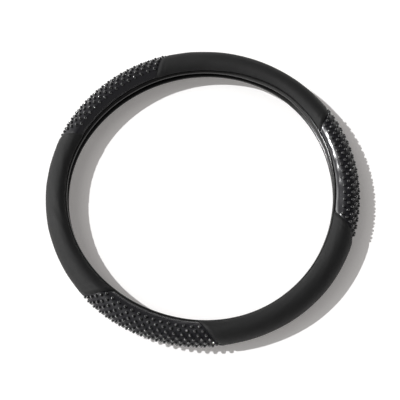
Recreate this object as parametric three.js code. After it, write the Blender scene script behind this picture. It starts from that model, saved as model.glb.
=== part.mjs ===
// Steering wheel cover: a rubber ring of C-shaped section, open towards the hub, dressed in
// three smooth leather-like skins and three studded grip skins that meet at slanted seams.
// Millimetres and degrees, +Z up, ring axis on Z, lying on its lowest studs at Z = 0.

import * as THREE from "three";

// Ring and section
const RING_RADIUS = 174; // from the ring's axis to the middle of its section
const SECTION_RADIUS = 17.1; // from the middle of the section to the smooth skin
const INNER_DEPTH = 14.2; // the same towards the hub, where the section is flatter
const LIP_WAVE = 2.2; // the hub side leans in by this near each grip and out between the grips
const LIP_TURN = -7; // ring angle at which it leans in the furthest
const RING_SIDES = 36; // flats of the rubber ring and of the skins' backs

// Rubber and skins
const RUBBER_WALL = 2.1;
const SKIN_THICKNESS = 2.2;
const SKIN_CLEARANCE = 0.3; // between the rubber and the back of each skin
const SKIN_END = 136; // section angle at which the skins stop short of the lips
const SKIN_BACK_STEPS = 12; // flats of a skin's back round the section

// Bead along each lip of the rubber
const BEAD_END = 156; // section angle of the tip of each lip
const BEAD_CREST = 146; // section angle at which the bead stands highest
const BEAD_CREST_DEPTH = 0.2;
const BEAD_SHOULDER = 0.7; // depth at which the bead starts beside the skin
const BEAD_ROUNDING = 1.9;
const CHANNEL_STEPS = 9; // flats of the channel for the rim, an odd number so that one faces the hub

// Grips: the ring angle of their middle. Each has a seam before and after it: its ring angle from there
// on the outside, and how much of that is lost for each degree round the section. The sewing is uneven.
const GRIPS = [
  { middle: -0.5, before: { reach: 28.1, taper: 0.07 }, after: { reach: 27.3, taper: 0.063 } },
  { middle: 121, before: { reach: 27.5, taper: 0.063 }, after: { reach: 27.3, taper: 0.03 } },
  { middle: 240.4, before: { reach: 27.6, taper: 0.067 }, after: { reach: 27.6, taper: 0.062 } },
];
const SEAM_GAP = 0.35;
const GRIP_RECESS = 1.3; // the ground between the studs lies this deep under the smooth skin
const GRIP_BAND_STEPS = 2; // flats of the plain band between the studs and each lip

// Studs
const STUD_HEIGHT = 2.95;
const STUD_ROWS = 12; // an even number
const LAST_ROW_ANGLE = 96; // section angle of the first and of the last row
const LONGEST_ROW = 19; // studs in the row just above the outside
const STUD_PITCH = 2.85; // ring angle between the studs of a row, on the outside
const PITCH_GROWTH = 0.002; // what each degree round the section adds to it

// Smooth skins
const SMOOTH_SIDES = 72; // flats of the smooth skins' faces for a whole turn of the ring
const SMOOTH_STEPS = 14; // flats of their faces round the section

// What follows from the driving sizes
const GRIP_COUNT = GRIPS.length;
const SEAM_GAP_ANGLE = THREE.MathUtils.radToDeg(SEAM_GAP / RING_RADIUS);
const RUBBER_DEPTH = SKIN_THICKNESS + SKIN_CLEARANCE;
const CHANNEL_DEPTH = RUBBER_DEPTH + RUBBER_WALL;
const CLEARANCE_ANGLE = THREE.MathUtils.radToDeg(SKIN_CLEARANCE / SECTION_RADIUS);
const BEAD_START = SKIN_END + 1.3 * CLEARANCE_ANGLE;
const HALF_ROW = LAST_ROW_ANGLE / (STUD_ROWS - 1);
const STUD_FIELD_END = STUD_ROWS * HALF_ROW;
const STUD_TIP_RADIUS = SECTION_RADIUS - GRIP_RECESS + STUD_HEIGHT;
const CENTRE_HEIGHT = STUD_TIP_RADIUS * Math.sin(THREE.MathUtils.degToRad(LAST_ROW_ANGLE));

const leather = { color: 0x2b2b2c, roughness: 0.55, metalness: 0 };
const studdedVinyl = { color: 0x17171a, roughness: 0.38, metalness: 0 };
const rubber = { color: 0x2f2f30, roughness: 0.45, metalness: 0 };

// The section: reach from its middle away from the hub, and height, at a depth under the skin's face
function sectionPoint(theta, depth) {
  const angle = THREE.MathUtils.degToRad(theta);
  const reach = Math.abs(theta) <= 90 ? SECTION_RADIUS : INNER_DEPTH;
  return new THREE.Vector2((reach - depth) * Math.cos(angle), (SECTION_RADIUS - depth) * Math.sin(angle));
}

// The hub side of the section leans in near the grips and out between them
function leaned(reach, phi) {
  const wave = Math.cos(GRIP_COUNT * THREE.MathUtils.degToRad(phi - LIP_TURN));
  return reach < 0 ? reach * (1 + (LIP_WAVE / INNER_DEPTH) * wave) : reach;
}

function ringPoint(phi, radius, height) {
  const angle = THREE.MathUtils.degToRad(phi);
  return new THREE.Vector3(radius * Math.cos(angle), radius * Math.sin(angle), CENTRE_HEIGHT + height);
}

// A point of a visible face, on the true round of the ring
function facePoint(phi, theta, depth) {
  const { x: reach, y: height } = sectionPoint(theta, depth);
  return ringPoint(phi, RING_RADIUS + leaned(reach, phi), height);
}

// A point of a skin's back, on the flats of the ring that it covers
function backPoint(phi, theta, depth) {
  const side = 360 / RING_SIDES;
  const middle = (Math.floor(phi / side) + 0.5) * side;
  const flat = Math.cos(THREE.MathUtils.degToRad(side / 2)) / Math.cos(THREE.MathUtils.degToRad(phi - middle));
  const { x: reach, y: height } = sectionPoint(theta, depth);
  return ringPoint(phi, flat * (RING_RADIUS + leaned(reach, phi)), height);
}

function evenAngles(from, to, steps) {
  return Array.from({ length: steps + 1 }, (_, k) => from + ((to - from) * k) / steps);
}

// Ring angles of the corners of the flats between two seams, with the seams themselves
function flatAngles(from, to, sides) {
  const side = 360 / sides;
  const first = Math.floor(from / side) + 1;
  const count = Math.ceil(to / side) - first;
  return [from, ...Array.from({ length: count }, (_, k) => (first + k) * side), to];
}

// Triangles between two rows of points, taking the shorter diagonal each time
function zip(first, second, triangles) {
  let a = 0;
  let b = 0;
  while (a < first.length - 1 || b < second.length - 1) {
    const firstEnds = a === first.length - 1;
    const secondEnds = b === second.length - 1;
    const alongFirst = firstEnds ? Infinity : Math.abs(first[a + 1].at - second[b].at);
    const alongSecond = secondEnds ? Infinity : Math.abs(second[b + 1].at - first[a].at);
    if (alongFirst <= alongSecond) {
      triangles.push(first[a].index, first[a + 1].index, second[b].index);
      a += 1;
    } else {
      triangles.push(first[a].index, second[b + 1].index, second[b].index);
      b += 1;
    }
  }
}

// A closed skin from the rows of its face and of its back, each row running from seam to seam and the
// rows from the lower lip to the upper one. A row is { theta, points: [{ phi, depth }] }.
function skinGeometry(faceRows, backRows) {
  const positions = [];
  const triangles = [];
  const place = (rows, pointAt) => rows.map(({ theta, points }) => points.map(({ phi, depth }) => {
    positions.push(...pointAt(phi, theta, depth).toArray());
    return { at: phi, theta, index: positions.length / 3 - 1 };
  }));
  const face = place(faceRows, facePoint);
  const back = place(backRows, backPoint);
  const around = [...face, ...back.toReversed(), face[0]];
  for (let k = 0; k + 1 < around.length; k += 1) zip(around[k], around[k + 1], triangles);

  // Seam walls, from lip to lip
  const edge = (rows, end) => rows.map((row) => ({ at: row.at(end).theta, index: row.at(end).index }));
  zip(edge(face, 0), edge(back, 0), triangles);
  zip(edge(back, -1), edge(face, -1), triangles);

  const geometry = new THREE.BufferGeometry();
  geometry.setAttribute("position", new THREE.Float32BufferAttribute(positions, 3));
  geometry.setIndex(triangles);
  geometry.computeVertexNormals();
  return geometry;
}

function skinBack(fromAt, toAt) {
  return evenAngles(-SKIN_END, SKIN_END, SKIN_BACK_STEPS).map((theta) => ({
    theta,
    points: flatAngles(fromAt(theta), toAt(theta), RING_SIDES).map((phi) => ({ phi, depth: SKIN_THICKNESS })),
  }));
}

// Ring angle of the seam before a grip, at a section angle
function seamBefore({ middle, before }, theta) {
  return middle - before.reach + before.taper * Math.abs(theta);
}

// The same for the seam after it
function seamAfter({ middle, after }, theta) {
  return middle + after.reach - after.taper * Math.abs(theta);
}

// One row of the studded field. Its points stand two quarter pitches apart, and each row is moved by
// one against the next. Every second point of an odd row carries a stud, staggered from row to row.
function studRow(j, grip) {
  const theta = j * HALF_ROW;
  const reach = 2 * LONGEST_ROW - Math.abs(j);
  const quarterPitch = (STUD_PITCH + PITCH_GROWTH * Math.abs(theta)) / 4;
  const points = [{ phi: seamBefore(grip, theta), depth: GRIP_RECESS }];
  for (let i = -reach; i <= reach; i += 1) {
    const isOddRow = j % 2 !== 0;
    const hasStud = isOddRow && (i + j - 1) % 4 === 0;
    const isGround = (i + j) % 2 === 0;
    const depth = hasStud ? GRIP_RECESS - STUD_HEIGHT : GRIP_RECESS;
    if (hasStud || isGround) points.push({ phi: grip.middle + i * quarterPitch, depth });
  }
  points.push({ phi: seamAfter(grip, theta), depth: GRIP_RECESS });
  return { theta, points };
}

// The plain band between the studs and a lip
function bandRows(fromTheta, toTheta, grip) {
  return evenAngles(fromTheta, toTheta, GRIP_BAND_STEPS).map((theta) => ({
    theta,
    points: flatAngles(seamBefore(grip, theta), seamAfter(grip, theta), RING_SIDES)
      .map((phi) => ({ phi, depth: GRIP_RECESS })),
  }));
}

function gripGeometry(grip) {
  const field = Array.from({ length: 2 * STUD_ROWS + 1 }, (_, k) => studRow(k - STUD_ROWS, grip));
  const lowerBand = bandRows(-SKIN_END, -STUD_FIELD_END, grip).slice(0, -1);
  const upperBand = bandRows(STUD_FIELD_END, SKIN_END, grip).slice(1);
  const back = skinBack((theta) => seamBefore(grip, theta), (theta) => seamAfter(grip, theta));
  return skinGeometry([...lowerBand, ...field, ...upperBand], back);
}

// A smooth skin between two grips
function smoothGeometry(first, second) {
  const from = (theta) => seamAfter(first, theta) + SEAM_GAP_ANGLE;
  const to = (theta) => seamBefore(second, theta) - SEAM_GAP_ANGLE;
  const face = evenAngles(-SKIN_END, SKIN_END, SMOOTH_STEPS).map((theta) => ({
    theta,
    points: flatAngles(from(theta), to(theta), SMOOTH_SIDES).map((phi) => ({ phi, depth: 0 })),
  }));
  return skinGeometry(face, skinBack(from, to));
}

// The rubber ring: its section turned about the axis, then leaned as the skins are
function ringGeometry() {
  const seat = evenAngles(-SKIN_END, SKIN_END, SKIN_BACK_STEPS).slice(1, -1)
    .map((theta) => sectionPoint(theta, RUBBER_DEPTH));
  const bead = (sign) => [
    sectionPoint(sign * BEAD_START, RUBBER_DEPTH),
    sectionPoint(sign * (BEAD_START + CLEARANCE_ANGLE), BEAD_SHOULDER),
    sectionPoint(sign * BEAD_CREST, BEAD_CREST_DEPTH),
    sectionPoint(sign * BEAD_END, 2 * BEAD_CREST_DEPTH),
    sectionPoint(sign * BEAD_END, BEAD_ROUNDING),
  ];
  const channelEnd = BEAD_END - 2 * CLEARANCE_ANGLE;
  const channel = evenAngles(channelEnd, -channelEnd, CHANNEL_STEPS)
    .map((theta) => sectionPoint(theta, CHANNEL_DEPTH));
  const loop = [...seat, ...bead(1), ...channel, ...bead(-1).toReversed()];
  const profile = [...loop, loop[0]].map(({ x, y }) => new THREE.Vector2(RING_RADIUS + x, CENTRE_HEIGHT + y));

  const geometry = new THREE.LatheGeometry(profile, RING_SIDES).rotateX(Math.PI / 2);
  const position = geometry.getAttribute("position");
  for (let k = 0; k < position.count; k += 1) {
    const radius = Math.hypot(position.getX(k), position.getY(k));
    const phi = THREE.MathUtils.radToDeg(Math.atan2(position.getY(k), position.getX(k)));
    const scale = (RING_RADIUS + leaned(radius - RING_RADIUS, phi)) / radius;
    position.setXY(k, position.getX(k) * scale, position.getY(k) * scale);
  }
  geometry.computeVertexNormals();
  return geometry;
}

function piece(name, geometry, finish) {
  const mesh = new THREE.Mesh(geometry, new THREE.MeshStandardMaterial(finish));
  mesh.name = name;
  return mesh;
}

const group = new THREE.Group();
group.add(piece("inner_ring", ringGeometry(), rubber));
GRIPS.forEach((grip, k) => {
  const next = k + 1 < GRIP_COUNT ? GRIPS[k + 1] : { ...GRIPS[0], middle: GRIPS[0].middle + 360 };
  group.add(piece(`grip_panel_${k + 1}`, gripGeometry(grip), studdedVinyl));
  group.add(piece(`smooth_panel_${k + 1}`, smoothGeometry(grip, next), leather));
});

export default group;
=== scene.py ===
"""Looks of a steering wheel cover: a rubber ring dressed in smooth and studded skins.

Sizes are in millimetres and degrees, and turn into metres where a mesh is made. Every surface is a
function of two angles: phi goes round the ring and theta goes round its section, from 0 on the outside
over 90 on the top to about 150 at the upper lip, and the same below with a minus sign.
"""

import logging
import math
from dataclasses import dataclass, field
from enum import Enum
from typing import Any, Callable, Sequence, Union

import bmesh
import bpy
import numpy as np
from mathutils import Matrix, Vector


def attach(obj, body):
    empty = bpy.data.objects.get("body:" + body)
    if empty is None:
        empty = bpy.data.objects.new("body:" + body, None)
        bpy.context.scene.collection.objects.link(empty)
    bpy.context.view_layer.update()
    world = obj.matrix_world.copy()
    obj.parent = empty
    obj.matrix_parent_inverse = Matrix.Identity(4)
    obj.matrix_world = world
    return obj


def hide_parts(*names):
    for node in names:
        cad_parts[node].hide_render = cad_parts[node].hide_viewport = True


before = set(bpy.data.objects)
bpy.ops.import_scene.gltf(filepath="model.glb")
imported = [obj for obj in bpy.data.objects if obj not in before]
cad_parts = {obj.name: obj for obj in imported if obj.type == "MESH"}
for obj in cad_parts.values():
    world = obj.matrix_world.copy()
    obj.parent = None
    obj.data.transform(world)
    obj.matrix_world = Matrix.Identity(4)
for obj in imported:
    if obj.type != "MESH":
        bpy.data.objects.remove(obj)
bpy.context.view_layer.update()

BODY = "root"
MM = 0.001
QUARTER_TURN = 90.0
FULL_TURN = 360.0
MERGE_DISTANCE = 1e-6
SHARP_ANGLE = math.radians(66)

log = logging.getLogger("steering_wheel_cover")

Array = np.ndarray
Linkable = Union["Wire", float, tuple]
Stops = Sequence[tuple[float, float]]


class Slot(Enum):
    """Material slots of the record."""

    RUBBER = "rubber"
    SMOOTH = "smooth_skin"
    STUDDED = "studded_skin"


class Wire:
    """A shader socket that takes part in Python expressions."""

    def __init__(self, sheet: "ShaderSheet", socket: bpy.types.NodeSocket) -> None:
        """Keep the sheet that the socket belongs to.

        Args:
            sheet: the node tree's helper.
            socket: an output socket.
        """
        self.sheet = sheet
        self.socket = socket

    def _math(self, operation: str, first: Linkable, second: Linkable) -> "Wire":
        """Add a Math node for two values and return its result."""
        return self.sheet.node("ShaderNodeMath", {"operation": operation}, {0: first, 1: second})

    def __add__(self, other: Linkable) -> "Wire":
        """Sum of two values."""
        return self._math("ADD", self, other)

    def __radd__(self, other: Linkable) -> "Wire":
        """Sum with a number on the left."""
        return self._math("ADD", other, self)

    def __sub__(self, other: Linkable) -> "Wire":
        """Difference of two values."""
        return self._math("SUBTRACT", self, other)

    def __rsub__(self, other: Linkable) -> "Wire":
        """Difference with a number on the left."""
        return self._math("SUBTRACT", other, self)

    def __mul__(self, other: Linkable) -> "Wire":
        """Product of two values."""
        return self._math("MULTIPLY", self, other)

    def __rmul__(self, other: Linkable) -> "Wire":
        """Product with a number on the left."""
        return self._math("MULTIPLY", other, self)


@dataclass
class ShaderSheet:
    """One material's or world's node tree, with the methods that fill it.

    Attributes:
        tree: the node tree that is filled.
    """

    tree: bpy.types.NodeTree

    def node(
        self,
        kind: str,
        settings: dict[str, Any] | None = None,
        inputs: dict[Any, Linkable] | None = None,
        output: int | str = 0,
    ) -> Wire:
        """Add a node, set it up, link it and return one of its outputs.

        Args:
            kind: Blender's type name of the node.
            settings: properties set before the sockets; "stops" fills a colour ramp.
            inputs: values or wires by socket name or number.
            output: the output socket that is returned.

        Returns:
            The chosen output as a wire.
        """
        made = self.tree.nodes.new(kind)
        for key, value in (settings or {}).items():
            if key == "stops":
                self._fill_ramp(made.color_ramp, value)
            else:
                setattr(made, key, value)
        for key, value in (inputs or {}).items():
            if isinstance(value, Wire):
                self.tree.links.new(value.socket, made.inputs[key])
            else:
                made.inputs[key].default_value = value
        return Wire(self, made.outputs[output])

    @staticmethod
    def _fill_ramp(ramp: bpy.types.ColorRamp, stops: Stops) -> None:
        """Give a colour ramp grey stops.

        Args:
            ramp: a new ramp, which has two stops.
            stops: pairs of position and level.
        """
        while len(ramp.elements) < len(stops):
            ramp.elements.new(1.0)
        for element, (position, level) in zip(ramp.elements, stops):
            element.position = position
            element.color = (level, level, level, 1.0)

    def end(self, kind: str, surface: Wire) -> None:
        """Link a shader to an output node of some kind."""
        self.tree.links.new(surface.socket, self.tree.nodes.new(kind).inputs["Surface"])

    def place(self) -> Wire:
        """Object coordinates, in metres."""
        return self.node("ShaderNodeTexCoord", output="Object")

    def noise(self, size: float, detail: float, roughness: float = 0.5) -> Wire:
        """Noise between 0 and 1.

        Args:
            size: about the size of its blots, in millimetres.
            detail: how many finer layers it has.
            roughness: how strong these are.

        Returns:
            The noise.
        """
        values = {"Vector": self.place(), "Scale": 1.0 / (size * MM)}
        values |= {"Detail": detail, "Roughness": roughness}
        return self.node("ShaderNodeTexNoise", None, values, "Fac")

    def cells(self, size: float) -> Wire:
        """Distance in a pattern of cells that measure about size millimetres."""
        values = {"Vector": self.place(), "Scale": 1.0 / (size * MM)}
        return self.node("ShaderNodeTexVoronoi", {"feature": "F1"}, values, "Distance")

    def ramp(self, value: Wire, stops: Stops) -> Wire:
        """A value passed through grey stops of (position, level)."""
        return self.node("ShaderNodeValToRGB", {"stops": stops}, {"Fac": value}, "Color")

    def attribute(self, name: str) -> Wire:
        """A number kept at the mesh's points."""
        return self.node("ShaderNodeAttribute", {"attribute_name": name}, None, "Fac")

    def blend(self, share: Linkable, first: Linkable, second: Linkable) -> Wire:
        """Mix of two colours.

        Args:
            share: how much there is of the second one.
            first: the colour at 0.
            second: the colour at 1.

        Returns:
            The mixed colour.
        """
        values = {"Factor": share, "A": first, "B": second}
        made = self.node("ShaderNodeMix", {"data_type": "RGBA"}, None, "Result")
        mix = made.socket.node
        for key, value in values.items():
            kind = "VALUE" if key == "Factor" else "RGBA"
            target = next(s for s in mix.inputs if s.name == key and s.type == kind)
            if isinstance(value, Wire):
                self.tree.links.new(value.socket, target)
            else:
                target.default_value = value
        return Wire(self, next(s for s in mix.outputs if s.type == "RGBA"))

    def bump(self, height: Wire, depth: float, strength: float = 1.0, below: Wire | None = None) -> Wire:
        """A normal bent by a height.

        Args:
            height: from 0 to 1.
            depth: how deep that is, in millimetres.
            strength: how much of the bend is kept.
            below: another bent normal that this one is laid over.

        Returns:
            The bent normal.
        """
        values: dict[Any, Linkable] = {"Height": height, "Distance": depth * MM, "Strength": strength}
        if below is not None:
            values["Normal"] = below
        return self.node("ShaderNodeBump", None, values, "Normal")


def surface_material(name: str, fill: Callable[[ShaderSheet], dict[str, Linkable]]) -> bpy.types.Material:
    """Make a material of one Principled shader.

    Args:
        name: the material's name.
        fill: takes the empty sheet and returns the shader's values and links by socket name.

    Returns:
        The new material.
    """
    material = bpy.data.materials.new(name)
    material.use_nodes = True
    material.node_tree.nodes.clear()
    sheet = ShaderSheet(material.node_tree)
    sheet.end("ShaderNodeOutputMaterial", sheet.node("ShaderNodeBsdfPrincipled", None, fill(sheet), "BSDF"))
    return material


@dataclass(frozen=True)
class MatteLeather:
    """Satin imitation leather with a fine grain.

    Attributes:
        dark: colour of the dark blots.
        light: colour of the light ones, where the skin looks rubbed.
        grain: size of a grain in millimetres.
        roughness: least roughness.
        blot_roughness: what the blots add to it.
        grain_roughness: what the grain adds to it.
        sheen: specular level.
        pattern_share: how much the blots or the grain count where the specks are mixed in.
    """

    dark: tuple = (0.0022, 0.0022, 0.0023, 1.0)
    light: tuple = (0.0060, 0.0060, 0.0062, 1.0)
    grain: float = 0.75
    roughness: float = 0.60
    blot_roughness: float = 0.14
    grain_roughness: float = 0.05
    sheen: float = 0.43
    pattern_share: float = 0.6

    def material(self) -> bpy.types.Material:
        """Leather: cells for the grain, and blots, specks and creases for its unevenness.

        Returns:
            The material.
        """
        speck_share = 1.0 - self.pattern_share

        def fill(sheet: ShaderSheet) -> dict[str, Linkable]:
            """Fill the leather's sheet.

            Args:
                sheet: the empty sheet.

            Returns:
                The shader's values and wires by socket name.
            """
            blots = sheet.noise(size=14.0, detail=3.0)
            specks = sheet.noise(size=1.4, detail=3.0, roughness=0.6)
            grain = sheet.cells(self.grain)
            tone = sheet.ramp(blots * self.pattern_share + specks * speck_share, [(0.3, 0.0), (0.7, 1.0)])
            creases = sheet.bump(sheet.noise(size=5.0, detail=3.0, roughness=0.6), depth=0.25)
            relief = grain * self.pattern_share + specks * speck_share
            return {
                "Base Color": sheet.blend(tone, self.dark, self.light),
                "Roughness": self.roughness + blots * self.blot_roughness + grain * self.grain_roughness,
                "Specular IOR Level": self.sheen,
                "Normal": sheet.bump(relief, depth=0.16, strength=0.9, below=creases),
            }

        return surface_material("matte_leather", fill)


@dataclass(frozen=True)
class MouldedVinyl:
    """Near-black moulded vinyl, glossy on the studs and on the bands, satin between the studs.

    Attributes:
        dark: colour of the studs.
        ground: colour between them.
        grain: size of the ground's fine pebbling in millimetres.
        roughness: least roughness of the ground.
        blot_roughness: what the blots add to it.
        stud_polish: how much of it the studs lose.
        band_polish: how much of it the plain bands lose.
        band_calm: how much of the creases the plain bands lose.
        stud_coat: weight of the clear coat on the studs.
        band_coat: the same on the plain bands.
        coat_index: refraction index of the coat.
        coat_roughness: roughness of the coat.
        sheen: specular level.
    """

    dark: tuple = (0.002, 0.002, 0.0024, 1.0)
    ground: tuple = (0.0065, 0.006, 0.0085, 1.0)
    grain: float = 0.55
    roughness: float = 0.44
    blot_roughness: float = 0.08
    stud_polish: float = 0.34
    band_polish: float = 0.26
    band_calm: float = 0.7
    stud_coat: float = 0.95
    band_coat: float = 0.7
    coat_index: float = 1.9
    coat_roughness: float = 0.10
    sheen: float = 0.34

    def material(self) -> bpy.types.Material:
        """Vinyl: the studs and the plain bands set the gloss, and the studs the colour.

        Returns:
            The material.
        """

        def fill(sheet: ShaderSheet) -> dict[str, Linkable]:
            """Fill the vinyl's sheet.

            Args:
                sheet: the empty sheet.

            Returns:
                The shader's values and wires by socket name.
            """
            stud = sheet.ramp(sheet.attribute("stud"), [(0.05, 0.0), (0.35, 1.0)])
            level = sheet.node("ShaderNodeRGBToBW", None, {"Color": stud}, "Val")
            band = sheet.attribute("band")
            plain = band * (1.0 - level)
            blots = sheet.noise(size=9.0, detail=3.0)
            pebbles = sheet.cells(self.grain)
            folds = sheet.noise(size=4.0, detail=2.0, roughness=0.6) * (1.0 - plain * self.band_calm)
            creases = sheet.bump(folds, depth=0.16)
            matt = self.roughness + blots * self.blot_roughness
            return {
                "Base Color": sheet.blend(stud, self.ground, self.dark),
                "Roughness": matt - level * self.stud_polish - plain * self.band_polish,
                "Specular IOR Level": self.sheen,
                "Coat Weight": level * self.stud_coat + plain * self.band_coat,
                "Coat IOR": self.coat_index,
                "Coat Roughness": self.coat_roughness,
                "Normal": sheet.bump(pebbles * (1.0 - level), depth=0.04, strength=0.6, below=creases),
            }

        return surface_material("moulded_vinyl", fill)


@dataclass(frozen=True)
class SoftRubber:
    """Grey-black moulded rubber.

    Attributes:
        dark: darker colour of the mottling.
        light: lighter colour of the mottling.
        roughness: least roughness.
        mottle_roughness: what the mottling adds to it.
        sheen: specular level.
    """

    dark: tuple = (0.003, 0.003, 0.003, 1.0)
    light: tuple = (0.008, 0.0078, 0.0074, 1.0)
    roughness: float = 0.18
    mottle_roughness: float = 0.06
    sheen: float = 0.42

    def material(self) -> bpy.types.Material:
        """Rubber: fine mottling.

        Returns:
            The material.
        """

        def fill(sheet: ShaderSheet) -> dict[str, Linkable]:
            """Fill the rubber's sheet.

            Args:
                sheet: the empty sheet.

            Returns:
                The shader's values and wires by socket name.
            """
            mottle = sheet.noise(size=3.5, detail=4.0, roughness=0.6)
            tone = sheet.ramp(mottle, [(0.35, 0.0), (0.65, 1.0)])
            return {
                "Base Color": sheet.blend(tone, self.dark, self.light),
                "Roughness": self.roughness + mottle * self.mottle_roughness,
                "Specular IOR Level": self.sheen,
            }

        return surface_material("soft_rubber", fill)


@dataclass(frozen=True)
class RingSection:
    """The round of the cover, in millimetres and degrees.

    To the sizes of the solids it adds the sag, the drawn-back edge and the dip of the edges.

    Attributes:
        ring_radius: from the ring's axis to the middle of its section.
        section_radius: from the middle of the section to the smooth skin.
        inner_depth: the same towards the hub.
        lip_wave: how far the hub side leans in near a grip and out between the grips.
        lip_turn: ring angle at which it leans in the furthest.
        wave_count: how many times it does so in a turn.
        centre_height: from the surface it lies on to the middle of the section.
        skin_end: section angle at which the skins stop.
        skin_thickness: thickness of a skin.
        sag_angles: ring angles at which it is given how far the upper lip hangs in towards the hub.
        sag_depths: how far it does so at each of them.
        sag_inwards: section angles between which that grows to the full.
        sag_downwards: section angles between which the way down grows to the full.
        sag_divisor: what the sag is divided by for the way down and for the lower lip.
        drawn_angles: ring angles at which it is given how far the skins' upper edge is drawn back.
        drawn_depths: how far that is at each of them, in section degrees.
        drawn_before: section angles between which that grows to the full.
        drawn_behind: section angles between which it ends.
        edge_dip: how far the skins' edges sink at the lips.
        edge_angles: section angles between which they do so.
    """

    ring_radius: float = 174.0
    section_radius: float = 17.1
    inner_depth: float = 14.2
    lip_wave: float = 2.2
    lip_turn: float = -7.0
    wave_count: int = 3
    centre_height: float = 18.6473
    skin_end: float = 136.0
    skin_thickness: float = 2.2
    sag_angles: tuple = (25.0, 40.0, 50.0, 58.0, 72.0, 86.0, 102.0, 135.0, 160.0, 280.0, 300.0, 345.0)
    sag_depths: tuple = (1.4, 1.0, 2.0, 3.2, 3.2, 2.5, 1.6, 1.0, 0.0, 0.0, 0.8, 1.3)
    sag_inwards: tuple[float, float] = (75.0, 140.0)
    sag_downwards: tuple[float, float] = (90.0, 140.0)
    sag_divisor: float = 3.0
    drawn_angles: tuple = (-15.0, 0.0, 10.0, 60.0, 75.0)
    drawn_depths: tuple = (0.0, 3.5, 7.0, 7.0, 0.0)
    drawn_before: tuple[float, float] = (108.0, 136.0)
    drawn_behind: tuple[float, float] = (138.0, 158.0)
    edge_dip: float = 0.5
    edge_angles: tuple[float, float] = (133.5, 136.0)

    def half_axis(self, theta: Array) -> Array:
        """Half axis of the section at a section angle, without the lip's wave."""
        return np.where(np.abs(theta) <= QUARTER_TURN, self.section_radius, self.inner_depth)

    def place(self, phi: Array, theta: Array, depth: Array | float) -> Array:
        """Points at a depth under the skin's face, in metres.

        The section is round outside and an ellipse with a shorter half axis on the hub side, whose
        reach is stretched by the lip's wave, a cosine of phi. The upper lip hangs in and down where it
        sags, and the lower one follows it by a third. Where the skins are drawn back, the bead widens by
        as much.

        Args:
            phi: ring angles.
            theta: section angles.
            depth: depths in millimetres, negative outwards.

        Returns:
            An array of points with a last axis of three.
        """
        drawn = np.interp(phi, self.drawn_angles, self.drawn_depths, period=FULL_TURN)
        ending = step_up(theta, *self.drawn_behind)
        theta = theta - drawn * step_up(theta, *self.drawn_before) * (1.0 - ending)
        turn, angle = np.radians(phi), np.radians(theta)
        wave = np.cos(self.wave_count * np.radians(phi - self.lip_turn))
        reach = (self.half_axis(theta) - depth) * np.cos(angle)
        lean = 1.0 + self.lip_wave / self.inner_depth * wave
        radius = self.ring_radius + np.where(reach < 0.0, reach * lean, reach)
        height = self.centre_height + (self.section_radius - depth) * np.sin(angle)
        sag = np.interp(phi, self.sag_angles, self.sag_depths, period=FULL_TURN)
        upper, lower = step_up(theta, *self.sag_inwards), step_up(-theta, *self.sag_inwards)
        radius = radius - sag * (upper + lower / self.sag_divisor)
        height = height - sag * step_up(theta, *self.sag_downwards) / self.sag_divisor
        radius, height, turn = np.broadcast_arrays(radius, height, turn)
        return np.stack([radius * np.cos(turn), radius * np.sin(turn), height], axis=-1) * MM

    def ring_length(self, theta: Array) -> Array:
        """Millimetres along the ring for one degree of phi, at a section angle."""
        return np.radians(1.0) * (self.ring_radius + self.half_axis(theta) * np.cos(np.radians(theta)))

    def turned_in(self, past: Array) -> Array:
        """How far the skins' edges sink at the lips, at a section angle without its sign."""
        return self.edge_dip * step_up(past, *self.edge_angles)

    def section_length(self) -> float:
        """Millimetres round the section for one degree of theta."""
        return math.radians(self.section_radius)


@dataclass(frozen=True)
class Ripple:
    """Smooth unevenness: a sum of sine waves that run in seeded directions.

    Attributes:
        seed: starts the random draws.
        wavelength: typical length of a wave in millimetres.
        waves: how many waves are summed.
        spread: shares of the typical length between which a wave's own is drawn.
    """

    seed: int
    wavelength: float
    waves: int = 7
    spread: tuple[float, float] = (0.7, 1.5)

    def height(self, along: Array, across: Array) -> Array:
        """Heights between about -1 and 1 at two lengths in millimetres.

        Each wave is the sine of a straight function of both lengths, and their sum is divided by the
        root of twice their number.

        Args:
            along: lengths along the ring.
            across: lengths round the section.

        Returns:
            An array of the two lengths' common shape.
        """
        draw = np.random.default_rng(self.seed)
        angle = draw.uniform(0.0, math.tau, self.waves)
        rate = math.tau / (self.wavelength * draw.uniform(*self.spread, self.waves))
        start = draw.uniform(0.0, math.tau, self.waves)
        far, wide = np.broadcast_arrays(along, across)
        phase = far[..., None] * (rate * np.cos(angle)) + wide[..., None] * (rate * np.sin(angle))
        return np.sin(phase + start).sum(-1) / math.sqrt(self.waves * 2.0)


def step_up(value: Array, start: float, end: float) -> Array:
    """Rise from 0 at start to 1 at end, flat at both: 3t^2 - 2t^3 of the share t of the way."""
    share = np.clip((value - start) / (end - start), 0.0, 1.0)
    return share * share * (3.0 - 2.0 * share)


def bell(value: Array, middle: Array | float, width: float) -> Array:
    """A hump of height 1: e to the minus square of the distance from its middle over its width."""
    return np.exp(-(((value - middle) / width) ** 2))


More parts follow.
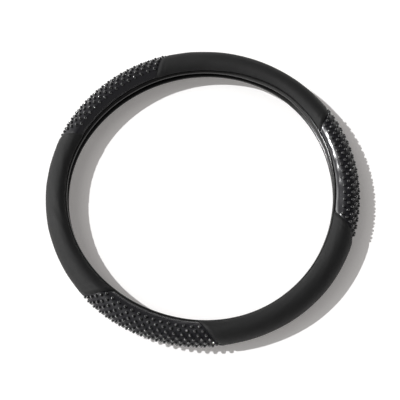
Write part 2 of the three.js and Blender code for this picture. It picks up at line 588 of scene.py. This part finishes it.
def add_mesh(name: str, points: Array, faces: list, marks: dict[str, Array]) -> bpy.types.Object:
    """Make an object of points and faces, with numbers kept at its points.

    Args:
        name: the object's name.
        points: an array of points in metres.
        faces: lists of point numbers.
        marks: arrays of one number for each point, by attribute name.

    Returns:
        The linked object, with points at the same place merged.
    """
    mesh = bpy.data.meshes.new(name)
    mesh.from_pydata(points.tolist(), [], faces)
    for key, values in marks.items():
        layer = mesh.attributes.new(key, "FLOAT", "POINT")
        layer.data.foreach_set("value", np.ascontiguousarray(values, dtype=np.float32))
    build = bmesh.new()
    build.from_mesh(mesh)
    bmesh.ops.remove_doubles(build, verts=build.verts, dist=MERGE_DISTANCE)
    build.to_mesh(mesh)
    build.free()
    mesh.validate()
    mesh.shade_smooth()
    mesh.set_sharp_from_angle(angle=SHARP_ANGLE)
    made = bpy.data.objects.new(name, mesh)
    bpy.context.scene.collection.objects.link(made)
    return made


def grid_faces(rows: int, columns: int, closed_columns: bool = False) -> list:
    """Quads of a grid whose rows close on themselves, facing outwards for rising angles.

    Args:
        rows: number of rows, all joined in a loop.
        columns: number of columns.
        closed_columns: whether the last column joins the first.

    Returns:
        Lists of four point numbers.
    """
    row = np.arange(rows)[:, None]
    column = np.arange(columns if closed_columns else columns - 1)[None, :]
    after, beside = (row + 1) % rows, (column + 1) % columns
    near, far = row * columns, after * columns
    corners = [near + column, near + beside, far + beside, far + column]
    return np.stack(np.broadcast_arrays(*corners), axis=-1).reshape(-1, 4).tolist()


def closed_skin(name: str, face: Array, back: Array, marks: dict[str, Array]) -> bpy.types.Object:
    """A closed skin from the grid of its face and a grid of its back with fewer rows.

    The rows of the face and those of the back in turn make one loop. Each end is closed by polygons
    that span one step of the back and the matching steps of the face.

    Args:
        name: the object's name.
        face: points of the face, rows from the lower lip to the upper one.
        back: points of the back in the same order, with the same number of columns.
        marks: numbers at the face's points, by attribute name; they are 0 at the back.

    Returns:
        The object.
    """
    rows, columns = face.shape[:2]
    back_rows = back.shape[0]
    stride = (rows - 1) // (back_rows - 1)
    points = np.concatenate([face, back[::-1]]).reshape(-1, 3)
    faces = grid_faces(rows + back_rows, columns)
    start = np.arange(back_rows - 1)[:, None]
    along_face = start * stride + np.arange(stride + 1)[None, :]
    along_back = rows + back_rows - 1 - start - np.array([[1, 0]])
    rims = np.concatenate([along_face, along_back], axis=1) * columns
    faces += rims.tolist() + (rims[:, ::-1] + columns - 1).tolist()
    zero = np.zeros(back.shape[:2])
    kept = {key: np.concatenate([values, zero]).ravel() for key, values in marks.items()}
    return add_mesh(name, points, faces, kept)


def finish_piece(piece: bpy.types.Object, material: bpy.types.Material, node: str) -> None:
    """Dress a piece, let it ride on the body and stand for its solid.

    Args:
        piece: the new object.
        material: its material.
        node: the solid that it replaces.
    """
    piece.data.materials.append(material)
    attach(piece, BODY)
    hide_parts(node)
    triangles = sum(len(polygon.vertices) - 2 for polygon in piece.data.polygons)
    log.info("%s: %d triangles", piece.name, triangles)


@dataclass(frozen=True)
class Grip:
    """Where one grip lies between its two seams.

    Attributes:
        middle: ring angle of its middle.
        reach_before: ring angle from there back to the seam before it, on the outside.
        taper_before: how much of that is lost for each degree round the section.
        reach_after: the same to the seam after it.
        taper_after: what that loses.
        ridge: height of the fine ridges on its plain bands, in millimetres.
    """

    middle: float
    reach_before: float
    taper_before: float
    reach_after: float
    taper_after: float
    ridge: float

    def before(self, theta: Array) -> Array:
        """Ring angle from the middle to the seam before it, less than 0."""
        return self.taper_before * np.abs(theta) - self.reach_before

    def after(self, theta: Array) -> Array:
        """Ring angle from the middle to the seam after it."""
        return self.reach_after - self.taper_after * np.abs(theta)


GRIPS = (
    Grip(-0.5, 28.1, 0.070, 27.3, 0.063, 0.0),
    Grip(121.0, 27.5, 0.063, 27.3, 0.030, 0.30),
    Grip(240.4, 27.6, 0.067, 27.6, 0.062, 0.24),
)
# Gap and dip at a seam in millimetres, and steps of a face for each step of its back.
SEAM_GAP = 0.35
SEAM_DIP = 0.30
BACK_STRIDE = 4


@dataclass(frozen=True)
class GripPanel:
    """A studded skin.

    The field is a chequer of cells half a pitch wide and a row high. Every second cell holds a stud, in
    which the grid's squares are turned into circles. The grid runs past the seams and is drawn back to
    them, where its spare points merge.

    Attributes:
        number: 1 to 3.
        section: the round of the cover.
        grip: where it lies.
        rows: rows of studs.
        last_row: section angle of the first and the last row.
        longest_row: studs in the row just above the outside.
        pitch: ring angle between the studs of a row, on the outside.
        pitch_growth: what each degree round the section adds to it.
        recess: depth of the ground under the smooth skin.
        stud_height: height of a stud.
        stud_radius: radius of its foot.
        stud_squareness: power of its profile, 2 for an ellipse and more for a flatter top.
        foot_spread: how much wider the ring of squares round a stud's foot is.
        cell_steps: squares along a cell's side.
        band_rows: rows of the grid between the studs and a lip.
        band_angles: section angles between which the gloss of a plain band grows to the full.
        ridge_angles: section angles of the fine ridges.
        ridge_width: their width in section degrees.
        ridge_start: distances from a seam between which they grow to their height.
        swell: height of the band's unevenness.
        swell_length: length of its waves.
        swell_angles: section angles between which it grows to the full.
        swell_seed: start of its random draws, to which the panel's number is added.
        seam_width: width of the dip along a seam.
        seam_draw: a point nearer to a seam than this share of half a square is drawn to it.
    """

    number: int
    section: RingSection
    grip: Grip
    rows: int = 12
    last_row: float = 96.0
    longest_row: int = 19
    pitch: float = 2.85
    pitch_growth: float = 0.002
    recess: float = 1.3
    stud_height: float = 2.95
    stud_radius: float = 2.1
    stud_squareness: float = 2.3
    foot_spread: float = 1.08
    cell_steps: int = 8
    band_rows: int = 24
    band_angles: tuple[float, float] = (99.0, 106.0)
    ridge_angles: tuple[float, ...] = (121.5, 127.0, 132.0)
    ridge_width: float = 1.2
    ridge_start: tuple[float, float] = (1.0, 6.0)
    swell: float = 0.09
    swell_length: float = 16.0
    swell_angles: tuple[float, float] = (100.0, 112.0)
    swell_seed: int = 10
    seam_width: float = 1.3
    seam_draw: float = 0.6

    @property
    def half_row(self) -> float:
        """Section angle of half a row."""
        return self.last_row / (self.rows - 1)

    def quarter_pitch(self, theta: Array) -> Array:
        """Ring angle of a quarter of a pitch."""
        return (self.pitch + self.pitch_growth * np.abs(theta)) / 4.0

    def lattice(self) -> tuple[Array, Array]:
        """Grid columns in quarter pitches and grid rows in half rows, without the bands.

        Returns:
            Columns and rows, as arrays of one shape.
        """
        edge = 2 * self.longest_row + 2
        columns = np.linspace(-edge, edge, edge * self.cell_steps + 1)
        rows = np.linspace(-self.rows, self.rows, self.rows * self.cell_steps + 1)
        return np.meshgrid(columns, rows)

    def domes(self, column: Array, row: Array) -> tuple[Array, Array, Array]:
        """Turn the squares of the cells with a stud into domes.

        A point's ring in its cell is the greater of its two distances from the middle. Its direction is
        that of the map that turns squares into circles of even steps. The rings up to three quarters
        become a dome: radius by the sine and height by the cosine of the ring's angle, both raised to 2
        over the squareness.

        Args:
            column: quarter pitches.
            row: half rows.

        Returns:
            The moved columns and rows, and the height as a share of the stud's height.
        """
        cell_column = 2.0 * np.round(column / 2.0)
        cell_row = 2.0 * np.floor(row / 2.0) + 1.0
        cell_row = np.where(row == self.rows, self.rows - 1.0, cell_row)
        a, b = column - cell_column, row - cell_row
        ring = np.maximum(np.abs(a), np.abs(b))
        is_wide = np.abs(a) >= np.abs(b)
        with np.errstate(divide="ignore", invalid="ignore"):
            turn = np.where(is_wide, math.pi / 4 * b / a, math.pi / 2 - math.pi / 4 * a / b)
        turn = np.nan_to_num(turn) + np.where(np.where(is_wide, a, b) < 0.0, math.pi, 0.0)
        held = (np.mod(cell_column + cell_row - 1.0, 4.0) == 0.0) & (ring < 1.0)
        held &= np.abs(cell_column) <= 2 * self.longest_row - np.abs(cell_row)
        outermost = 1.0 - 2.0 / self.cell_steps
        slope = np.clip(ring / outermost, 0.0, 1.0) * math.pi / 2
        power = 2.0 / self.stud_squareness
        foot = np.where(ring > outermost, self.foot_spread, 1.0)
        radius = self.stud_radius * foot * np.sin(slope) ** power
        theta = cell_row * self.half_row
        wide = self.quarter_pitch(theta) * self.section.ring_length(theta)
        high = self.half_row * self.section.section_length()
        new_column = np.where(held, cell_column + radius * np.cos(turn) / wide, column)
        new_row = np.where(held, cell_row + radius * np.sin(turn) / high, row)
        return new_column, new_row, np.where(held & (ring < outermost), np.cos(slope) ** power, 0.0)

    def grid(self) -> tuple[Array, Array, Array]:
        """The grid of the whole face, bands included.

        Returns:
            Columns, section angles and the heights of the studs as shares.
        """
        column, row, height = self.domes(*self.lattice())
        field_end = self.rows * self.half_row
        band = np.linspace(field_end, self.section.skin_end, self.band_rows + 1)[1:, None]
        plain = np.broadcast_to(column[:1], (self.band_rows, column.shape[1]))
        columns = np.concatenate([plain, column, plain])
        upper = np.broadcast_to(band, plain.shape)
        thetas = np.concatenate([-upper[::-1], row * self.half_row, upper])
        flat = np.zeros(plain.shape)
        return columns, thetas, np.concatenate([flat, height, flat])

    def turned(self, column: Array, theta: Array) -> tuple[Array, Array]:
        """Ring angles of the columns, drawn back to the seams, and the distance from the seam.

        Args:
            column: quarter pitches.
            theta: section angles.

        Returns:
            Ring angles in degrees and lengths in millimetres.
        """
        first, last = self.grip.before(theta), self.grip.after(theta)
        spare = self.seam_draw / self.cell_steps * self.quarter_pitch(theta)
        turn = column * self.quarter_pitch(theta)
        held = np.where(turn < first + spare, first, np.where(turn > last - spare, last, turn))
        away = np.minimum(held - first, last - held) * self.section.ring_length(theta)
        return self.grip.middle + held, away

    def folds(self, phi: Array, theta: Array, away: Array) -> Array:
        """Height of the folds of the plain band and of the drawn-in edges, in millimetres.

        Fine ridges run along each lip, the band is a little uneven, and the edges sink at the seams, in
        a hump's shape, and towards the lips.

        Args:
            phi: ring angles.
            theta: section angles.
            away: distances from the nearer seam.

        Returns:
            Heights over the ground.
        """
        along = phi * self.section.ring_length(theta)
        across = theta * self.section.section_length()
        past = np.abs(theta)
        lines = sum(bell(past, middle, self.ridge_width) for middle in self.ridge_angles)
        ridges = self.grip.ridge * lines * step_up(away, *self.ridge_start)
        waves = Ripple(self.number + self.swell_seed, self.swell_length).height(along, across)
        uneven = self.swell * waves * step_up(past, *self.swell_angles)
        ends = -SEAM_DIP * bell(away, 0.0, self.seam_width) - self.section.turned_in(past)
        return ridges + uneven + ends

    def build(self, material: bpy.types.Material) -> bpy.types.Object:
        """Make the panel and dress it.

        Args:
            material: its material.

        Returns:
            The panel.
        """
        column, theta, stud = self.grid()
        phi, away = self.turned(column, theta)
        height = self.folds(phi, theta, away) + stud * self.stud_height
        face = self.section.place(phi, theta, self.recess - height)
        back_theta = np.broadcast_to(theta[::BACK_STRIDE, :1], theta[::BACK_STRIDE].shape)
        back_phi, _ = self.turned(np.broadcast_to(self.grid_edge(), back_theta.shape), back_theta)
        back = self.section.place(back_phi, back_theta, self.section.skin_thickness)
        name = f"grip_panel_{self.number}"
        marks = {"stud": stud, "band": step_up(np.abs(theta), *self.band_angles)}
        piece = closed_skin(f"{name}_skin", face, back, marks)
        finish_piece(piece, material, name)
        return piece

    def grid_edge(self) -> Array:
        """Columns of a row without studs."""
        return self.lattice()[0][:1]


@dataclass(frozen=True)
class SmoothPanel:
    """A smooth skin between two grips.

    Attributes:
        number: 1 to 3, after the grip before it.
        section: the round of the cover.
        first: the grip before it.
        second: the grip after it.
        columns: steps of the grid from seam to seam.
        rows: steps of the grid from lip to lip, a multiple of the back's stride.
        seam_humps: dips and swellings beside a seam, as heights, distances from it and widths.
        pull: height of the long folds at a seam.
        pull_length: length of their waves.
        pull_stretch: share of the length along the ring that counts for them.
        pull_fade: distance in which they fade to about a third.
        pull_start: distances from a seam between which they start.
        pull_seed: start of their random draws, to which the panel's number is added.
        gather: height of the gathers across a lip.
        gather_length: length of their waves.
        gather_stretch: share of the length round the section that counts for them.
        gather_angles: section angles between which they grow to the full.
        gather_seed: start of their random draws, used in the same way.
        swell: height of the unevenness.
        swell_length: length of its waves.
        swell_seed: start of its random draws, used in the same way.
        slack: height of the slack stretch.
        slack_turn: ring angle of its middle and its width.
        slack_round: section angle of its middle and its width.
        slack_start: distances from a seam between which it starts.
    """

    number: int
    section: RingSection
    first: Grip
    second: Grip
    columns: int = 220
    rows: int = 88
    seam_humps: tuple = ((-2.5 * SEAM_DIP, 0.0, 1.8), (0.28, 5.0, 2.4), (0.14, 11.0, 3.0))
    pull: float = 0.22
    pull_length: float = 9.0
    pull_stretch: float = 0.25
    pull_fade: float = 13.0
    pull_start: tuple[float, float] = (1.0, 4.0)
    pull_seed: int = 20
    gather: float = 0.13
    gather_length: float = 7.0
    gather_stretch: float = 0.2
    gather_angles: tuple[float, float] = (108.0, 130.0)
    gather_seed: int = 30
    swell: float = 0.14
    swell_length: float = 34.0
    swell_seed: int = 40
    slack: float = 1.9
    slack_turn: tuple[float, float] = (305.0, 23.0)
    slack_round: tuple[float, float] = (10.0, 60.0)
    slack_start: tuple[float, float] = (0.0, 12.0)

    def ends(self, theta: Array) -> tuple[Array, Array]:
        """Ring angles of both ends.

        Args:
            theta: section angles.

        Returns:
            Ring angles of the start and of the end.
        """
        gap = math.degrees(SEAM_GAP / self.section.ring_radius)
        start = self.first.middle + self.first.after(theta) + gap
        end = self.second.middle % FULL_TURN + self.second.before(theta) - gap
        return start, end

    def grid(self, rows: int) -> tuple[Array, Array]:
        """A grid from seam to seam and from lip to lip.

        Args:
            rows: steps from lip to lip.

        Returns:
            Ring angles and section angles.
        """
        share, theta = np.meshgrid(
            np.linspace(0.0, 1.0, self.columns + 1),
            np.linspace(-self.section.skin_end, self.section.skin_end, rows + 1),
        )
        start, end = self.ends(theta)
        return start + (end - start) * share, theta

    def folds(self, phi: Array, theta: Array) -> Array:
        """Height of the skin's folds over its round, in millimetres.

        The edge sinks into the seam and swells beside it, long folds fade away from the seam, and small
        gathers stand across each lip, where the edge sinks too. The whole is a little uneven, and one
        stretch of it is slack.

        Args:
            phi: ring angles.
            theta: section angles.

        Returns:
            Heights over the smooth round.
        """
        along = phi * self.section.ring_length(theta)
        across = theta * self.section.section_length()
        start, end = self.ends(theta)
        away = np.minimum(phi - start, end - phi) * self.section.ring_length(theta)
        past = np.abs(theta)
        pinch = sum(height * bell(away, middle, width) for height, middle, width in self.seam_humps)
        pulled = Ripple(self.number + self.pull_seed, self.pull_length)
        fading = self.pull * np.exp(-away / self.pull_fade)
        pulls = fading * pulled.height(self.pull_stretch * along, across) * step_up(away, *self.pull_start)
        gathered = Ripple(self.number + self.gather_seed, self.gather_length)
        gathers = self.gather * gathered.height(along, self.gather_stretch * across)
        gathers = gathers * step_up(past, *self.gather_angles)
        swelling = Ripple(self.number + self.swell_seed, self.swell_length)
        uneven = self.swell * swelling.height(along, across)
        slack = self.slack * bell(phi, *self.slack_turn) * bell(theta, *self.slack_round)
        slack = slack * step_up(away, *self.slack_start)
        return pinch + pulls + gathers + uneven - self.section.turned_in(past) + slack

    def build(self, material: bpy.types.Material) -> bpy.types.Object:
        """Make the panel and dress it.

        Args:
            material: its material.

        Returns:
            The panel.
        """
        phi, theta = self.grid(self.rows)
        face = self.section.place(phi, theta, -self.folds(phi, theta))
        back_phi, back_theta = self.grid(self.rows // BACK_STRIDE)
        back = self.section.place(back_phi, back_theta, self.section.skin_thickness)
        name = f"smooth_panel_{self.number}"
        piece = closed_skin(f"{name}_skin", face, back, {})
        finish_piece(piece, material, name)
        return piece


@dataclass(frozen=True)
class RubberRing:
    """The rubber ring: a seat under the skins, a round bead along each lip and the channel for the rim.

    Attributes:
        section: the round of the cover.
        seat_depth: depth of the seat under the smooth skin's face.
        wall: thickness of the rubber.
        bead_middle: section angle of a bead's crest.
        bead_half: half its width round the section, in degrees.
        bead_crest: depth of its crest.
        bead_foot: depth at both of its feet.
        columns: steps of the grid round the ring.
        seat_rows: rows of the grid on the seat.
        bead_rows: rows on a bead.
        channel_rows: rows in the channel.
        channel_inset: section degrees from a bead's far foot back to where the channel starts.
        swell: height of the beads' unevenness.
        swell_length: length of its waves.
        swell_seed: start of its random draws.
        bead_distance: length across the waves from one bead to the middle between them.
    """

    section: RingSection
    seat_depth: float = 2.5
    wall: float = 2.1
    bead_middle: float = 147.2
    bead_half: float = 9.6
    bead_crest: float = 0.1
    bead_foot: float = 1.9
    columns: int = 540
    seat_rows: int = 24
    bead_rows: int = 14
    channel_rows: int = 28
    channel_inset: float = 2.2
    swell: float = 0.08
    swell_length: float = 31.0
    swell_seed: int = 51
    bead_distance: float = 60.0

    def profile(self) -> tuple[Array, Array, Array]:
        """Section angle, depth and share of bead of each row, as one loop.

        The seat and the channel lie at even depths. A bead is half an ellipse: its section angle
        follows the cosine and its height the sine of an angle that turns by 180 degrees.

        Returns:
            Section angles, depths and shares of bead.
        """
        turn = np.linspace(0.0, math.pi, self.bead_rows)
        bead = self.bead_middle - self.bead_half * np.cos(turn)
        bead_depth = self.bead_foot - (self.bead_foot - self.bead_crest) * np.sin(turn)
        seat_end = self.bead_middle - self.bead_half
        seat = np.linspace(-seat_end, seat_end, self.seat_rows + 2)[1:-1]
        channel_end = self.bead_middle + self.bead_half - self.channel_inset
        channel = np.linspace(channel_end, -channel_end, self.channel_rows)
        theta = np.concatenate([seat, bead, channel, -bead[::-1]])
        depth = np.concatenate([
            np.full(seat.shape, self.seat_depth),
            bead_depth,
            np.full(channel.shape, self.seat_depth + self.wall),
            bead_depth[::-1],
        ])
        share = np.concatenate([0.0 * seat, np.sin(turn), 0.0 * channel, np.sin(turn)])
        return theta, depth, share

    def build(self, material: bpy.types.Material) -> bpy.types.Object:
        """Make the ring and dress it.

        Args:
            material: its material.

        Returns:
            The ring.
        """
        theta, depth, share = self.profile()
        phi = np.linspace(0.0, FULL_TURN, self.columns + 1)[None, :-1]
        along = phi * self.section.ring_length(np.array(FULL_TURN / 2))
        side = self.bead_distance * np.sign(theta)[:, None]
        waves = Ripple(self.swell_seed, self.swell_length).height(along, side)
        uneven = self.swell * waves * share[:, None]
        points = self.section.place(phi, theta[:, None], depth[:, None] - uneven)
        faces = grid_faces(len(theta), self.columns, closed_columns=True)
        piece = add_mesh("inner_ring_rubber", points.reshape(-1, 3), faces, {})
        finish_piece(piece, material, "inner_ring")
        return piece


@dataclass(frozen=True)
class Studio:
    """Floor, light and camera.

    Attributes:
        floor_size: side of the floor in metres.
        floor_tone: colour of the floor.
        floor_lift: light that the floor seems to give, seen directly, in reflections and through glass.
        glow_reach: distance from the ring's axis in metres at which the ramp of that light ends.
        painted_shade_stops: the ramp's stops, which weaken that light beside the ring: painted shade that
            darkens the floor there.
        sun_strength: strength of the key light.
        sun_height: its angle above the floor.
        sun_from: the ring angle that it comes from.
        sun_width: its apparent width.
        halo_strength: strength of the wide glow around the sun.
        halo_stops: level of that glow over the cosine of the angle from the sun.
        sky_top: strength of the light that all of the sky gives.
        sky_low: what the light from low down adds to it on the bright side.
        low_stops: level of that light over the sine of the height.
        around_stops: level of that light from the dark side, at 0, to the bright side, at 1.
        sky_from: the ring angle of the bright side.
        camera_turn: azimuth of the camera.
        camera_height: its angle above the floor.
        camera_roll: its roll.
        camera_distance: from the middle of the ring in metres.
        focal: focal length in pixels of the photograph.
        middle: where the middle of the ring stands in the photograph, in pixels.
        picture: side of the photograph in pixels.
        target: the point that the camera looks at.
    """

    floor_size: float = 12.0
    floor_tone: tuple = (0.95, 0.95, 0.95, 1.0)
    floor_lift: tuple = (0.310, 0.293, 0.282, 1.0)
    glow_reach: float = 0.4
    painted_shade_stops: tuple = ((0.31, 1.0), (0.39, 0.56), (0.49, 0.58), (0.57, 1.0))
    sun_strength: float = 2.75
    sun_height: float = 50.5
    sun_from: float = 160.0
    sun_width: float = 0.8
    halo_strength: float = 0.25
    halo_stops: tuple = ((0.80, 0.0), (0.97, 1.0))
    sky_top: float = 0.14
    sky_low: float = 4.2
    low_stops: tuple = ((0.10, 1.0), (0.50, 0.0))
    around_stops: tuple = ((0.44, 0.02), (0.63, 0.20), (1.0, 1.0))
    sky_from: float = 165.0
    camera_turn: float = -5.2
    camera_height: float = 68.94
    camera_roll: float = -4.03
    camera_distance: float = 1.501
    focal: float = 1230.5
    middle: tuple[float, float] = (202.04, 193.07)
    picture: float = 400.0
    target: Vector = field(default_factory=lambda: Vector((0.0, 0.0, RingSection.centre_height * MM)))

    def add_floor(self) -> None:
        """A pale matt floor at the height of the lowest studs."""
        half = self.floor_size / 2
        points = np.array([(-half, -half, 0.0), (half, -half, 0.0), (half, half, 0.0), (-half, half, 0.0)])
        floor = add_mesh("floor", points, [[0, 1, 2, 3]], {})

        def fill(sheet: ShaderSheet) -> dict[str, Linkable]:
            """Matt paint with a faint glow for the camera, weakened close to the ring as painted shade.

            Args:
                sheet: the empty sheet.

            Returns:
                The shader's values and wires by socket name.
            """
            rays = [sheet.node("ShaderNodeLightPath", output=f"Is {kind} Ray")
                    for kind in ("Camera", "Glossy", "Transmission")]
            seen = rays[0] + rays[1] + rays[2]
            away = sheet.node("ShaderNodeVectorMath", {"operation": "LENGTH"}, {0: sheet.place()}, "Value")
            # Painted shade: the floor's glow is weakened in a band round the ring, so the floor is darker
            # beside it.
            glow = sheet.ramp(away * (1.0 / self.glow_reach), self.painted_shade_stops)
            return {
                "Base Color": self.floor_tone,
                "Roughness": 1.0,
                "Specular IOR Level": 0.0,
                "Emission Color": sheet.blend(seen * glow, (0.0, 0.0, 0.0, 1.0), self.floor_lift),
                "Emission Strength": 1.0,
            }

        floor.data.materials.append(surface_material("pale_floor", fill))

    @staticmethod
    def direction(turn: float, height: float) -> Vector:
        """The unit vector towards a ring angle and an angle above the floor.

        Args:
            turn: the ring angle.
            height: the angle above the floor.

        Returns:
            The vector.
        """
        around, above = math.radians(turn), math.radians(height)
        level = math.cos(above)
        return Vector((math.cos(around) * level, math.sin(around) * level, math.sin(above)))

    def add_light(self) -> None:
        """One key light with a wide glow around it, and a sky that is bright low down on one side."""
        lamp = bpy.data.lights.new("key_light", "SUN")
        lamp.energy = self.sun_strength
        lamp.angle = math.radians(self.sun_width)
        key = bpy.data.objects.new("key_light", lamp)
        towards = self.direction(self.sun_from, self.sun_height)
        key.rotation_euler = towards.to_track_quat("Z", "Y").to_euler()
        bpy.context.scene.collection.objects.link(key)
        world = bpy.data.worlds.new("studio")
        world.use_nodes = True
        world.node_tree.nodes.clear()
        sheet = ShaderSheet(world.node_tree)
        way = sheet.node("ShaderNodeTexCoord", output="Generated")
        upward = sheet.node("ShaderNodeSeparateXYZ", None, {"Vector": way}, "Z")
        dot = {"operation": "DOT_PRODUCT"}
        beside = sheet.node("ShaderNodeVectorMath", dot, {0: way, 1: towards}, "Value")
        halo = sheet.ramp(beside, self.halo_stops)
        bright_side = self.direction(self.sky_from, 0.0)
        facing = sheet.node("ShaderNodeVectorMath", dot, {0: way, 1: bright_side}, "Value")
        around = sheet.ramp((facing + 1.0) * 0.5, self.around_stops)
        low = sheet.ramp(upward, self.low_stops)
        level = low * around * self.sky_low + halo * self.halo_strength + self.sky_top
        glow = sheet.node("ShaderNodeBackground", None, {"Color": level, "Strength": 1.0}, "Background")
        sheet.end("ShaderNodeOutputWorld", glow)
        bpy.context.scene.world = world

    def add_camera(self) -> None:
        """The camera at the photograph's angle, aimed at the middle of the ring."""
        turn, height = math.radians(self.camera_turn), math.radians(self.camera_height)
        flat = math.cos(height)
        back = Vector((math.sin(turn) * flat, -math.cos(turn) * flat, math.sin(height)))
        level = Vector((math.cos(turn), math.sin(turn), 0.0))
        upright = back.cross(level)
        roll = math.radians(self.camera_roll)
        right = level * math.cos(roll) + upright * math.sin(roll)
        above = upright * math.cos(roll) - level * math.sin(roll)
        lens = bpy.data.cameras.new("camera")
        lens.lens = self.focal / self.picture * lens.sensor_width
        lens.shift_x = 0.5 - self.middle[0] / self.picture
        lens.shift_y = self.middle[1] / self.picture - 0.5
        lens.clip_end = self.floor_size * 2
        camera = bpy.data.objects.new("camera", lens)
        camera.matrix_world = Matrix.Translation(self.target + back * self.camera_distance) @ Matrix((
            (right.x, above.x, back.x, 0.0),
            (right.y, above.y, back.y, 0.0),
            (right.z, above.z, back.z, 0.0),
            (0.0, 0.0, 0.0, 1.0),
        ))
        bpy.context.scene.collection.objects.link(camera)
        bpy.context.scene.camera = camera

    def build(self) -> None:
        """Add everything that isn't part of the cover."""
        self.add_camera()
        self.add_floor()
        self.add_light()
        bpy.context.scene.view_settings.view_transform = "Standard"


def main() -> None:
    """Build the studio and the pieces in order."""
    logging.basicConfig(level=logging.INFO, format="%(message)s")
    Studio().build()
    section = RingSection()
    RubberRing(section).build(SoftRubber().material())
    leather = MatteLeather().material()
    vinyl = MouldedVinyl().material()
    for number, (grip, following) in enumerate(zip(GRIPS, GRIPS[1:] + GRIPS[:1]), 1):
        GripPanel(number, section, grip).build(vinyl)
        SmoothPanel(number, section, grip, following).build(leather)


if __name__ == "__main__":
    main()
